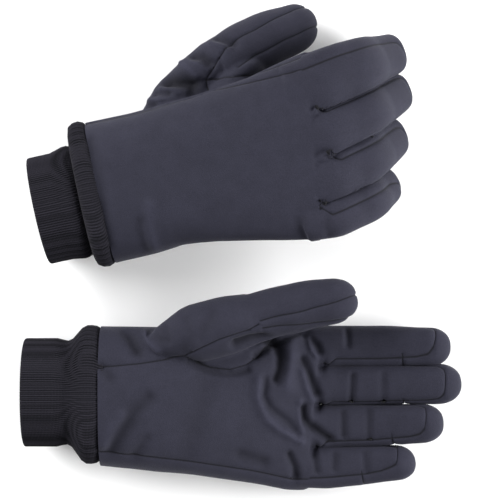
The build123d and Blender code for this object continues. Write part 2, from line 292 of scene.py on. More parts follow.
def digitRings(side, name, apart):
    plan, lie = digits[name], lies[side][name]
    end = lie["length"]
    nose = plan["nose"]
    start = -thumbRootLength if name == "thumb" else -fingerRoot
    marks = (start, 0, plan["middle"], end - nose)
    wides = (lie["wide"][0],) + lie["wide"]
    deeps = (lie["deep"][0],) + lie["deep"]
    rings = []
    root = lie["shift"][0]
    if name == "little":           # its root runs straight back into the hand
        root += fingerRoot * math.tan(math.radians(lie["yaw"]))
    def station(x, scale=1.0):
        wide = np.interp(x, marks, wides) * scale
        deep = np.interp(x, marks, deeps) * scale
        across = np.interp(x, (-fingerRoot, 0, end), (root, *lie["shift"]))
        radial, ulnar = [float(narrowed(side, name, x, way)) for way in (1, -1)]
        radial, ulnar = [share * apart if share < 1 else share for share in (radial, ulnar)]
        ring = (x, across, 0, wide * radial, deep, deep, plan["power"])
        return lambda angle: ringPoint(angle, ring, wide * ulnar)
    for x in np.linspace(marks[0], end - nose, 16):
        rings.append(station(x))
    for step in np.linspace(0.12, 0.97, 9):
        x = end - nose + nose * math.sin(step * math.pi / 2)
        rings.append(station(x, math.cos(step * math.pi / 2) ** 0.85))
    return rings


def thenarRings(side):
    rings = []
    for x in np.linspace(thenar["stations"][0], thenar["stations"][-1], 15):
        radius = float(np.interp(x, thenar["stations"], thenar[side]["radii"]))
        rings.append(lambda angle, r=(x, 0, 0, radius, radius, radius, 2): ringPoint(angle, r))
    return rings


def webRings():        # cloth between thumb and hand
    rings = []
    along, across, up = web["place"]
    for step in np.linspace(-0.98, 0.98, 16):
        radius = web["radius"] * math.sqrt(1 - step * step)
        ring = (along + web["reach"] * step, across, up, radius * web["across"],
                radius * web["up"], radius, 2)
        rings.append(lambda angle, ring=ring: ringPoint(angle, ring))
    return rings


def slitRings(end):    # closed part of two neighbouring fingers, up to the floor of their crotch
    rings = []
    for x in np.linspace(filler["start"], end, 12):
        ring = (x, 0, 0, filler["wide"], filler["deep"], filler["deep"], filler["power"])
        rings.append(lambda angle, ring=ring: ringPoint(angle, ring))
    return rings


def meshFrom(bm, name):
    mesh = bpy.data.meshes.new(name)
    bm.to_mesh(mesh)
    bm.free()
    return mesh


def placed(name, data):
    thing = bpy.data.objects.new(name, data)
    bpy.context.scene.collection.objects.link(thing)
    return thing


def evaluated(thing):      # its mesh with the modifiers applied
    graph = bpy.context.evaluated_depsgraph_get()
    return bpy.data.meshes.new_from_object(thing.evaluated_get(graph), depsgraph=graph,
                                           preserve_all_data_layers=True)


def giveWall(piece, wall, innerSlot=0):
    modifier = piece.modifiers.new("wall", "SOLIDIFY")
    modifier.thickness = wall * mm
    modifier.offset = -1
    modifier.material_offset = innerSlot
    mesh = evaluated(piece)
    piece.modifiers.clear()
    flat = piece.data
    piece.data = mesh
    bpy.data.meshes.remove(flat)


def makeBlank(side, voxel, soften, apart):
    bm = bmesh.new()
    addTube(bm, Matrix.Identity(4), handRings(side), 72)
    for name in digitNames:
        addTube(bm, digitMatrix(side, name), digitRings(side, name, apart))
    heading = turned(thenar[side]["yaw"], thenar[side]["drop"])
    ball = Matrix.Translation(hingePoint(side, "thumb")) @ heading
    addTube(bm, ball, thenarRings(side))
    if side == "right":
        addTube(bm, ball, webRings())
        for name, floor in zip(fingerNames, webs[side]):
            lie = lies[side][name]
            gap = digitMatrix(side, name) @ Matrix.Translation((0, lie["shift"][0] - lie["wide"][0], 0))
            addTube(bm, gap, slitRings(floor - filler["short"]))
    bmesh.ops.recalc_face_normals(bm, faces=bm.faces)
    blank = placed("blank", meshFrom(bm, "blank"))
    remesh = blank.modifiers.new("joined", "REMESH")
    remesh.mode = "VOXEL"
    remesh.voxel_size = voxel
    smooth = blank.modifiers.new("softened", "SMOOTH")
    smooth.factor = 0.5
    smooth.iterations = soften
    joined = evaluated(blank)
    bpy.data.objects.remove(blank)
    bm = bmesh.new()
    bm.from_mesh(joined)
    bpy.data.meshes.remove(joined)
    return bm


# ---- where a point of the straight glove belongs

def positions(bm):
    bm.verts.ensure_lookup_table()
    bm.verts.index_update()
    return np.array([vert.co for vert in bm.verts])


def pastCrotch(points):    # distance past the line of the finger hinges
    return points[:, 0] - crotchLine - points[:, 1] * crotchTilt


def digitOf(side, points):  # -1 in the hand, else the number of the digit
    owner = np.full(len(points), -1)
    past = pastCrotch(points)
    nearest = np.full(len(points), 99.0)
    for number, name in enumerate(digitNames):
        spot = localPoints(side, name, points)
        lie = lies[side][name]
        offset = np.abs(spot[:, 1] - np.interp(spot[:, 0], (0, lie["length"]), lie["shift"]))
        if name == "thumb":
            distance = np.hypot(offset * claim["thumbAcross"], spot[:, 2])
            isThumb = (spot[:, 0] > 0) & (distance < claim["thumb"])
            continue
        closer = (past > claim["behind"]) & (offset < nearest)
        closer &= np.abs(spot[:, 2]) < claim["height"]
        owner[closer] = number
        nearest[closer] = offset[closer]
    owner[isThumb & (nearest > claim["thumb"])] = 0
    return owner


def wallLevels(side, name, points):  # heights over the digit's two long seams
    plan, lie = digits[name], lies[side][name]
    spot = localPoints(side, name, points)
    across = spot[:, 1] - np.interp(spot[:, 0], (0, lie["length"]), lie["shift"])
    if name == "thumb":
        stations, outer, inner = thumbSeams[side]
        return [across - np.interp(spot[:, 0], stations, seam) for seam in (outer, inner)]
    heights = (plan["level"][0], levelBefore, *plan["level"][1:])
    level = np.interp(spot[:, 0] - lie["length"], levelMarks, heights)
    joined = (across > plan["joined"][0]) & (across < plan["joined"][1])
    parted = smoothStep((pastCrotch(points) - webFloor(side, name, across)) / webFade)
    level = np.where(joined, level * (0.1 + 0.9 * parted), level)
    roll = math.radians(plan["seamRoll"][sides.index(side)])
    tilted = math.cos(roll) * spot[:, 2] - math.sin(roll) * across
    return tilted - level, tilted + level


def seamCurve(name, x):
    table = seams[name]
    return np.interp(x, [row[0] for row in table], [row[1] for row in table])


def seamFields(side, points, facing, margin=0.0):
    # signed distance from the nearest of three sets of seams, and a number that only the
    # points of one seam share
    owner = digitOf(side, points)
    x, y = points.T[:2]
    inHand = owner < 0
    upper = inHand & (facing > sideways)
    lower = inHand & (facing < -sideways)
    values = np.zeros((3, len(points)))
    group = np.full((3, len(points)), -1)
    runs = (
        (0, "backRadial", upper & (x < 147 + margin) & (y > 30) & (y < 56)),
        (0, "ulnar", lower & (x < 146 + margin) & (y < -20)),
        (0, "thenar", lower & (x < thumbFork + margin) & (y > 5)),
        (1, "strip", upper & (x > 79 - margin) & (y > 54) & (y < 65)),
        (1, "thumbUpper", lower & (x > thumbFork - margin) & (x < 107 + margin) & (y > 15)),
        (2, "thumbLower", lower & (x > thumbFork - margin) & (x < thumbEnd + margin) & (y > 5)),
    )
    for number, (layer, name, among) in enumerate(runs):
        values[layer][among] = (y - seamCurve(name, x))[among]
        group[layer][among] = number
    root = upper & (y > 50.5 - margin) & (x < 100) & (x > 65)
    values[2][root] = (x - np.interp(y, *zip(*thumbRoot)))[root]
    group[2][root] = 30
    for number, name in enumerate(digitNames):
        spot = localPoints(side, name, points)
        back, front = wallLevels(side, name, points)
        mine = owner == number
        if name in fingerNames:
            joined = digits[name]["joined"]
            outside = (spot[:, 1] < joined[0]) | (spot[:, 1] > joined[1])
            mine &= outside | (pastCrotch(points) > webFloor(side, name, spot[:, 1]) - 1)
        if name == "index":
            gusset = inHand & (x > gussetStart - margin) & (y > gussetEdge)
            gusset &= (facing < sideways) & (group[1] < 0)
            values[1][gusset] = front[gusset]
            group[1][gusset] = 20
        values[0][mine] = back[mine]
        values[1][mine] = front[mine]
        group[0:2, mine] = 10 + number
        if name == "thumb":
            continue
        wall = mine & (back < 1 + margin) & (front > -1 - margin) & (spot[:, 1] < 0) & (spot[:, 0] > 13)
        values[2][wall] = spot[wall, 0] - digits[name]["cross"]
        group[2][wall] = 10 + number
    return values, group


def cutAlong(bm, values, group):
    among = group >= 0
    on = np.abs(values) < 0.05
    line = [bm.verts[i] for i in np.nonzero(on & among)[0]]
    sign = np.where(on, 0, np.sign(values))
    ends = np.array([(edge.verts[0].index, edge.verts[1].index) for edge in bm.edges])
    first, second = ends.T
    crossing = (sign[first] * sign[second] < 0) & (group[first] == group[second]) & among[first]
    bm.edges.ensure_lookup_table()
    for edge in [bm.edges[i] for i in np.nonzero(crossing)[0]]:
        start = edge.verts[0]
        a, b = values[start.index], values[edge.verts[1].index]
        line.append(bmesh.utils.edge_split(edge, start, a / (a - b))[1])
    bmesh.ops.connect_verts(bm, verts=line)


def cutSeams(side, bm):
    for layer in range(3):
        for offset in (-0.9, 0.9, 0.0):
            values, group = seamFields(side, positions(bm), normalsOf(bm)[:, 2])
            cutAlong(bm, values[layer] - offset, group[layer])


def cutBodies(side, bm):
    for end in (0, 1):
        points = positions(bm)
        group = digitOf(side, points)
        values = np.zeros(len(points))
        for number, name in enumerate(digitNames):
            mine = group == number
            spot = localPoints(side, name, points[mine])
            reach = spot[:, 0] if end else rootward(side, name, points[mine], spot)
            values[mine] = reach - digits[name]["split"][end]
        cutAlong(bm, values, group)


def openWrist(side, bm, edge):
    cuff = cuffMatrix(side)
    bmesh.ops.bisect_plane(bm, geom=bm.verts[:] + bm.edges[:] + bm.faces[:], dist=0.01,
                           plane_co=cuff @ Vector((edge, 0, 0)),
                           plane_no=cuff.to_3x3() @ Vector((1, 0, 0)), clear_inner=True)


# ---- from the straight glove to the way that it lies

def rotated(points, pivot, axis, angles):
    arm = points - pivot
    c, s = np.cos(angles)[:, None], np.sin(angles)[:, None]
    axis = np.array(axis)
    return pivot + arm * c + np.cross(axis, arm) * s + axis * (arm @ axis)[:, None] * (1 - c)


def restWeights(side, name, spot, past):
    plan = digits[name]
    (first, second), (third, fourth) = plan["zones"]
    if name in fingerNames:
        first, second = bendStart[side], second + bendSpread["knuckle"]
        third, fourth = third - bendSpread["before"], fourth + bendSpread["after"]
    return (smoothStep((past - first) / (second - first)),
            smoothStep((spot[:, 0] - third) / (fourth - third)))


def digitBent(side, name, spot, weights):
    plan, lie = digits[name], lies[side][name]
    roll = math.radians(plan["roll"])
    axis = (0, math.cos(roll), math.sin(roll))
    spot = rotated(spot, (plan["middle"], 0, 0), axis, weights[1] * math.radians(lie["bend"][1]))
    return rotated(spot, (0, 0, 0), axis, weights[0] * math.radians(lie["bend"][0]))


def bent(side, points):
    result = points.copy()
    owner = digitOf(side, points)
    for number, name in enumerate(digitNames):
        mine = owner == number
        lie = lies[side][name]
        spot = localPoints(side, name, points[mine])
        past = rootward(side, name, points[mine], spot)
        weights = restWeights(side, name, spot, past)
        if name in fingerNames:
            middle = np.interp(spot[:, 0], (0, lie["length"]), lie["shift"])
            across = spot[:, 1] - middle
            share = narrowed(side, name, past, across)
            grown = np.where(share < 1, touching[side] / share, 1.0)
            beyond = past - webFloor(side, name, across) + swell["before"]
            ramp = smoothStep(beyond / swell["over"])
            spot[:, 1] = middle + across * (1 + (grown - 1) * ramp)
        result[mine] = applied(digitMatrix(side, name), digitBent(side, name, spot, weights))
    return result


def normalsOf(bm):
    bm.normal_update()
    return np.array([vert.normal for vert in bm.verts])


def movePoints(bm, points):
    for vert, point in zip(bm.verts, points):
        vert.co = point


def polylineDistance(points, line):
    best = np.full(len(points), 1e9)
    for (ax, ay), (bx, by) in zip(line, line[1:]):
        a = np.array((ax, ay))
        d = np.array((bx - ax, by - ay))
        t = np.clip(((points[:, :2] - a) @ d) / (d @ d), 0, 1)
        best = np.minimum(best, np.hypot(*(points[:, :2] - a - t[:, None] * d).T))
    return best


# folds of the cloth on the face that shows: points across the glove, width and height
folds = {
    "left": (
        (((17, 44), (22, 38), (27, 30)), 3.6, -1.6),
        (((29, 45), (33, 37), (40, 30)), 2.0, 1.1),
        (((34, 46), (41, 37)), 3.0, -0.7),
        (((5, 20), (11, 12)), 3.0, -0.8),
        (((13, -33), (20, -20), (27, -8), (35, 1)), 4.5, -1.1),
        (((9, -30), (13, -19), (19, -11)), 3.0, 0.9),
        (((28, -36), (31, -31), (35, -25)), 3.5, -0.7),
        (((70, 14), (65, -18), (62, -30)), 8.0, -0.5),
        (((88, 37), (97, 40), (104, 41), (111, 39), (114, 36), (117, 29), (117, 21), (115, 15)), 3.0, -2.2),
        (((123, 40), (123, 28), (122, 19), (122, 10)), 4.5, 1.0),
        (((103, 14), (103, 4), (106, -4), (110, -11), (118, -17), (127, -21), (132, -24)), 2.8, 1.3),
        (((108, 14), (107, 4), (111, -3), (116, -7), (123, -12), (127, -17), (129, -20)), 2.6, -1.0),
        (((131, 20), (134, 10), (138, 2)), 2.4, 1.0),
        (((130, 1), (130, -9), (132, -18)), 2.0, 1.0),
        (((131, 28), (136, 18), (141, 6)), 2.6, -1.7),
        (((132, -3), (134, -11), (139, -15), (150, -23)), 2.6, -2.0),
        (((132, 43), (139, 37), (141, 33)), 2.4, -1.3),
        (((133, 43), (136, 34), (139, 30)), 1.6, 0.9),
        (((125, -33), (129, -41), (130, -47)), 2.4, -1.5),
        (((141, -32), (143, -43)), 2.0, -0.9),
        (((94, -34), (108, -38)), 4.0, -1.0),
        (((56, 51), (60, 41), (57, 32)), 3.2, -0.5),
        (((73, 56), (69, 48), (66, 40)), 3.0, -0.5),
        (((44, 45), (46, 37)), 2.6, -0.6),
        (((60, 24), (70, 19.5), (79, 17.5), (88, 17.5), (96, 20)), 2.2, -1.1),
        (((101, 30), (106, 33), (112, 38), (120, 41), (128, 45)), 2.2, -1.2),
        (((158, 49), (159, 38)), 2.0, -0.7),
        (((163, 19), (163, 3)), 2.0, -1.1),
        (((182, 20), (183, 4)), 2.4, -0.6),
        (((158, -5), (159, -20)), 2.2, -1.0),
        (((174, -2), (175, -20)), 2.2, -0.8),
        (((154, -32), (154, -41)), 2.2, -0.8),
        (((173, -30), (174, -41)), 2.2, -0.7),
    ),
    "right": (
        (((30, 47), (36, 48.5), (44, 48)), 2.8, -0.8),
        (((39, 52), (46, 51), (55, 50)), 2.3, 0.7),
        (((45, 55), (50, 55), (55, 53)), 2.6, -0.9),
        (((50, 58), (58, 56), (66, 53)), 2.4, 0.8),
        (((53, 63), (61, 60), (71, 56)), 5.0, -2.6),
        (((65, 71), (71, 65), (74, 61)), 2.4, 1.0),
        (((73, 75), (79, 73), (83, 68)), 3.4, -1.5),
        (((69, 73), (76, 69), (82, 65)), 2.4, 0.7),
        (((89, 84), (95, 81), (100, 78)), 3.0, -1.1),
        (((86, 81), (93, 78), (98, 76)), 2.2, 0.5),
        (((38, -15), (35, -29), (34, -44)), 3.5, 0.6),
        (((31, -25), (29, -44)), 4.0, -0.5),
        (((130, -38), (131, -50)), 3.0, -0.4),
        (((146, -38), (145, -50)), 2.4, -0.4),
        (((6, 30), (9, 0), (8, -35)), 3.0, -0.5),
    ),
}


def creased(side, bm, points):
    normals = normalsOf(bm)
    lift = np.zeros(len(points))
    scale = 1 / shell["rippleLength"]
    for i, point in enumerate(points):
        lift[i] = shell["ripple"] * noise.noise(Vector(point) * scale + Vector((7, 3, 1)))
    form = creases[side]
    shown = smoothStep(normals[:, 2] * form["slope"] + form["reach"])
    for line, width, height in folds[side]:
        fade = np.exp(-(polylineDistance(points, line) / width) ** 2)
        lift += form["strength"] * height * fade * shown
    # the second value is painted shade in the folds, and painted highlight on the ridges where it is below
    # zero
    return points + normals * lift[:, None], np.clip(-lift / shadeDepth, shadeLeast, 1)


def seamDistance(side, points, facing):
    values, group = seamFields(side, points, facing, margin=1.0)
    return np.where(group >= 0, np.abs(values), farSeam).min(axis=0)


# ---- panels

def handPanel(side, spots, facing):
    x, y = spots.T[:2]
    upper = facing > 0
    front = wallLevels(side, "index", spots)[1]
    panel = np.full(len(spots), "back_panel", dtype=object)
    lower = ~upper
    panel[lower & (y > seamCurve("ulnar", x))] = "palm_panel"
    panel[lower & (x < thumbFork) & (y > seamCurve("thenar", x))] = "thumb_outer_panel"
    ball = lower & (x >= thumbFork)
    panel[ball & (y > seamCurve("thumbLower", x)) & (x < thumbEnd)] = "thumb_inner_panel"
    panel[ball & (y > seamCurve("thumbUpper", x)) & (x < 112)] = "thumb_outer_panel"
    beyond = upper & (y > seamCurve("backRadial", x))
    panel[beyond] = "thumb_outer_panel"
    past = beyond & (x > np.interp(y, *zip(*thumbRoot)))
    panel[past] = "side_gusset"
    panel[past & (y > seamCurve("strip", x)) & (x < thumbEnd)] = "thumb_inner_panel"
    wall = (x > gussetStart) & (y > gussetEdge) & (front > 0) & (facing < sideways)
    panel[wall & (panel != "thumb_inner_panel")] = "side_gusset"
    return panel


def rootward(side, name, points, spot):    # distance along which a digit leaves the hand
    return spot[:, 0] if name == "thumb" else pastCrotch(points)


def panelNames(side, spots, facing):   # node and, within it, the separate sewn piece
    owner = digitOf(side, spots)
    node = handPanel(side, spots, facing)
    part = np.zeros(len(spots), dtype=int)
    for number, name in enumerate(digitNames):
        plan = digits[name]
        spot = localPoints(side, name, spots)
        back, front = wallLevels(side, name, spots)
        mine = (owner == number) & (rootward(side, name, spots, spot) > plan["split"][0])
        tip = spot[:, 0] > plan["split"][1]
        node[mine & ~tip] = name + "_base_panels"
        node[mine & tip] = name + "_tip_panels"
        piece = np.where(back > 0, 1, np.where(front < 0, 2, 3))
        if name != "thumb":
            walls = (piece == 3) & (spot[:, 0] < plan["cross"]) & (spot[:, 1] < 0)
            piece[walls] = 4
        part[mine] = piece[mine]
    return node, part


def linerNames(side, spots, facing):
    owner = digitOf(side, spots)
    cuff = applied(cuffMatrix(side).inverted(), spots)
    node = np.full(len(spots), "hand_liner", dtype=object)
    node[cuff[:, 0] < lining["tapeEnd"]] = "wrist_seam_tape"
    part = np.zeros(len(spots), dtype=int)
    for number, name in enumerate(digitNames):
        spot = localPoints(side, name, spots)
        mine = (owner == number) & (rootward(side, name, spots, spot) > digits[name]["split"][0])
        tip = spot[:, 0] > digits[name]["split"][1]
        node[mine & ~tip] = name + "_base_liner"
        node[mine & tip] = name + "_tip_liner"
    return node, part


def setAttribute(mesh, name, kind, values):
    layer = mesh.attributes.get(name) or mesh.attributes.new(name, kind, "POINT")
    field = "vector" if kind == "FLOAT_VECTOR" else "value"
    layer.data.foreach_set(field, np.asarray(values, np.float32).ravel())


def splitByPiece(bm, node, part):
    names = sorted(set(node))
    bm.faces.ensure_lookup_table()
    code = {}
    for face, n, p in zip(bm.faces, node, part):
        face.material_index = names.index(n)
        code[face] = (n, p)
    border = [edge for edge in bm.edges if len(edge.link_faces) == 2
              and code[edge.link_faces[0]] != code[edge.link_faces[1]]]
    bmesh.ops.split_edges(bm, edges=border)
    return names


def makeLayer(side, style, names, finish, wall):
    seamed = style is shell
    bm = makeBlank(side, style["voxel"], style["soften"], style["apart"])
    openWrist(side, bm, gloves[side]["wristEdge"] if seamed else lining["tapeStart"])
    cutBodies(side, bm)
    if seamed:
        cutSeams(side, bm)
    else:
        points = positions(bm)
        cuff = applied(cuffMatrix(side).inverted(), points)
        cutAlong(bm, cuff[:, 0] - lining["tapeEnd"], np.zeros(len(points), int))
    flat = positions(bm)
    flatFacing = normalsOf(bm)[:, 2]
    centres = np.array([face.calc_center_median() for face in bm.faces])
    node, part = names(side, centres, np.array([face.normal.z for face in bm.faces]))
    movePoints(bm, bent(side, flat))
    moved, foldShade = creased(side, bm, positions(bm))
    movePoints(bm, moved)
    gap = seamDistance(side, flat, flatFacing) if seamed else np.full(len(flat), farSeam)
    normals = normalsOf(bm)
    if seamed:
        depth = shell["groove"] * np.exp(-(gap / shell["grooveWidth"]) ** 2)
        depth += shell["valley"] * np.exp(-(gap / shell["valleyWidth"]) ** 2)
    else:
        depth = np.full(len(flat), lining["inset"])
    movePoints(bm, moved - normals * depth[:, None])
    bmesh.ops.transform(bm, matrix=gloveMatrix(side), verts=bm.verts)
    if side == "left":
        bmesh.ops.reverse_faces(bm, faces=bm.faces)
    normals = normalsOf(bm)
    mesh = meshFrom(bm, side + "Layer")
    setAttribute(mesh, "cloth", "FLOAT_VECTOR", flat)
    setAttribute(mesh, "seamGap", "FLOAT", gap)
    # painted shade of the folds and painted highlight of the ridges, read by the cloth finish
    setAttribute(mesh, "foldShade", "FLOAT", foldShade)
    setAttribute(mesh, "smoothNormal", "FLOAT_VECTOR", normals)
    bm = bmesh.new()
    bm.from_mesh(mesh)
    found = splitByPiece(bm, node, part)
    bm.to_mesh(mesh)
    bm.free()
    for name in found:
        mesh.materials.append(bpy.data.materials.new(name))
    layer = placed(side + "Layer", mesh)
    bpy.ops.object.select_all(action="DESELECT")
    bpy.context.view_layer.objects.active = layer
    layer.select_set(True)
    bpy.ops.object.mode_set(mode="EDIT")
    bpy.ops.mesh.separate(type="MATERIAL")
    bpy.ops.object.mode_set(mode="OBJECT")
    parts = list(bpy.context.selected_objects)
    bpy.ops.object.select_all(action="DESELECT")
    made = {}
    for piece in parts:
        node = found[piece.data.polygons[0].material_index] if len(piece.data.materials) > 1 \
            else piece.data.materials[0].name.split(".")[0]
        piece.data.materials.clear()
        for material in finish:
            piece.data.materials.append(material)
        piece.data.polygons.foreach_set("material_index", [0] * len(piece.data.polygons))
        thicken(piece, wall, len(finish) - 1)
        piece.name = camelName(side, node)
        piece.data.name = piece.name
        made[node] = piece
        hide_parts(f"{side}_{node}")
    for material in list(bpy.data.materials):      # those that only marked the nodes
        if material.name.split(".")[0] in found and not material.users:
            bpy.data.materials.remove(material)
    return made


def camelName(side, node):
    words = node.split("_")
    return side + "".join(word.capitalize() for word in words)


def thicken(piece, wall, innerSlot):
    outer = len(piece.data.polygons)
    giveWall(piece, wall, innerSlot)
    mesh = piece.data
    normals = np.zeros(len(mesh.vertices) * 3, np.float32)
    mesh.attributes["smoothNormal"].data.foreach_get("vector", normals)
    normals = normals.reshape(-1, 3)
    corners = np.zeros(len(mesh.loops), np.int32)
    mesh.loops.foreach_get("vertex_index", corners)
    custom = normals[corners]
    for polygon in mesh.polygons[outer:]:
        span = slice(polygon.loop_start, polygon.loop_start + polygon.loop_total)
        custom[span] = -custom[span] if polygon.index < 2 * outer else 0
    mesh.polygons.foreach_set("use_smooth", [True] * len(mesh.polygons))
    mesh.normals_split_custom_set([tuple(v) for v in custom])
    mesh.attributes.remove(mesh.attributes["smoothNormal"])


# ---- how the pieces move


def attach(side, made):
    for node, piece in made.items():
        name = node.split("_")[0]
        if name in digitNames and ("_base_" in node or "_tip_" in node):
            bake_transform(piece)
        else:
            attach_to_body(piece, f"{side}_hand")


# ---- knit cuffs

cuff = {
    "ribs": 132, "ribStep": 4, "ribDepth": 0.36,
    "wrist": (43, 27.5, 2.5), "tube": (34, 27, 2.15), "wall": 1.1,
    "left": {"length": 44.5, "aside": 1.0, "bulge": 0.5,
             "path": ((7, 1, -3.2), (4.5, 1, -2.6), (3, 1, -1.4), (1, 1, -0.2), (-2, 1, 0.3),
                      (-5, 1, 0.2), (-8, 0.85, -0.2), (-11, 0.55, -1.2), (-14, 0.25, -2.2),
                      (-17, 0.08, -2.2), (-20, 0, -1.0), (-24, 0, 0))},
    "right": {"length": 39.5, "aside": -4.5, "bulge": 2.5,
              "path": ((6, 1, -3.2), (3.0, 1, -2.6), (1.4, 1, -0.6), (0.0, 1, 1.2), (-3, 1, 2.4),
                       (-6.5, 1, 2.0), (-9.5, 1, 0.2), (-10.6, 0.9, -2.4), (-10.4, 0.7, -4.6),
                       (-9.6, 0.5, -6.0), (-11, 0.36, -3.4), (-14, 0.26, -1.0), (-17, 0.17, 0),
                       (-21, 0.08, 0), (-25, 0, 0))},
    "drop": 1.9, "step": 2.2, "blendEnd": -24,    # drop of the inner ply below the outer one
}


def sectionRadius(angle, mix, grow):
    sizes = [cuff["tube"][k] * (1 - mix) + cuff["wrist"][k] * mix for k in range(3)]
    wide, deep, power = sizes[0] + grow, sizes[1] + grow, sizes[2]
    return ringPoint(angle, (0, 0, 0, wide, deep, deep, power))


def cuffStations(side, inner):
    plan = cuff[side]
    path = [list(step) for step in plan["path"]]
    end = -plan["length"]
    last = path[-1][0]
    step = cuff["step"]
    steps = [(x, 0, 0) for x in np.linspace(last - step, end + 1.2, int((last - end) / step))]
    if not inner:
        fold = [(end + 0.35, 0, -0.25), (end, 0, -0.9), (end + 0.25, 0, -1.6), (end + 0.9, 0, -1.9)]
        return path + steps + fold
    drop = cuff["drop"]
    line = [(x, mix, grow - drop) for x, mix, grow in path[1:] + steps]
    return line + [(end + 1.0, 0, -drop - 0.1)]


def makeCuffPly(side, inner, finish):
    count = cuff["ribs"] * cuff["ribStep"]
    stations = cuffStations(side, inner)
    bm = bmesh.new()
    place = gloveMatrix(side) @ cuffMatrix(side)
    def station(step):
        x, mix, grow = step
        def at(angle):
            turnCount = angle / (2 * math.pi) * cuff["ribs"]
            rib = cuff["ribDepth"] * math.cos(2 * math.pi * turnCount)
            ulnar = 0.5 - 0.5 * math.cos(angle)
            point = sectionRadius(angle, mix, grow + rib + cuff[side]["bulge"] * mix * ulnar)
            point.x = x
            point.y += cuff[side]["aside"] * (1 - mix)
            return point
        return at
    addTube(bm, Matrix.Identity(4), [station(step) for step in stations], count)
    caps = [face for face in bm.faces if len(face.verts) > 8]
    bmesh.ops.delete(bm, geom=caps, context="FACES_ONLY")
    bm.verts.index_update()
    spots = positions(bm)
    angles = np.arctan2(spots[:, 2], spots[:, 1])
    bmesh.ops.transform(bm, matrix=place, verts=bm.verts)
    bmesh.ops.recalc_face_normals(bm, faces=bm.faces)
    probe = max(bm.faces, key=lambda face: face.calc_center_median().z)
    if probe.normal.z < 0:
        bmesh.ops.reverse_faces(bm, faces=bm.faces)
    name = camelName(side, "cuff_inner_ply" if inner else "cuff_outer_ply")
    mesh = meshFrom(bm, name)
    ribCount = angles / (2 * math.pi) * cuff["ribs"]
    cloth = np.stack([spots[:, 0], ribCount, np.zeros(len(spots))], axis=1)
    setAttribute(mesh, "cloth", "FLOAT_VECTOR", cloth)
    mesh.materials.append(finish)
    ply = placed(name, mesh)
    giveWall(ply, cuff["wall"])
    ply.data.polygons.foreach_set("use_smooth", [True] * len(ply.data.polygons))
    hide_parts(f"{side}_cuff_inner_ply" if inner else f"{side}_cuff_outer_ply")
    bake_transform(ply)
    return ply


# ---- finishes

def newMaterial(name):
    material = bpy.data.materials.new(name)
    material.use_nodes = True
    nodes = material.node_tree.nodes
    return material, nodes, material.node_tree.links, nodes["Principled BSDF"]


def addNode(nodes, kind, values=(), **settings):    # values by the name or number of an input
    node = nodes.new("ShaderNode" + kind)
    for key, value in settings.items():
        setattr(node, key, value)
    for key, value in dict(values).items():
        node.inputs[key].default_value = value
    return node


def addRamp(nodes, dark, light):
    ramp = addNode(nodes, "ValToRGB")
    for element, position, color in zip(ramp.color_ramp.elements, (0.3, 0.7), (dark, light)):
        element.position = position
        element.color = (*color, 1)
    return ramp


def setSurface(shader, roughness, specular, sheen):
    shader.inputs["Roughness"].default_value = roughness
    shader.inputs["Specular IOR Level"].default_value = specular
    shader.inputs["Sheen Weight"].default_value = sheen


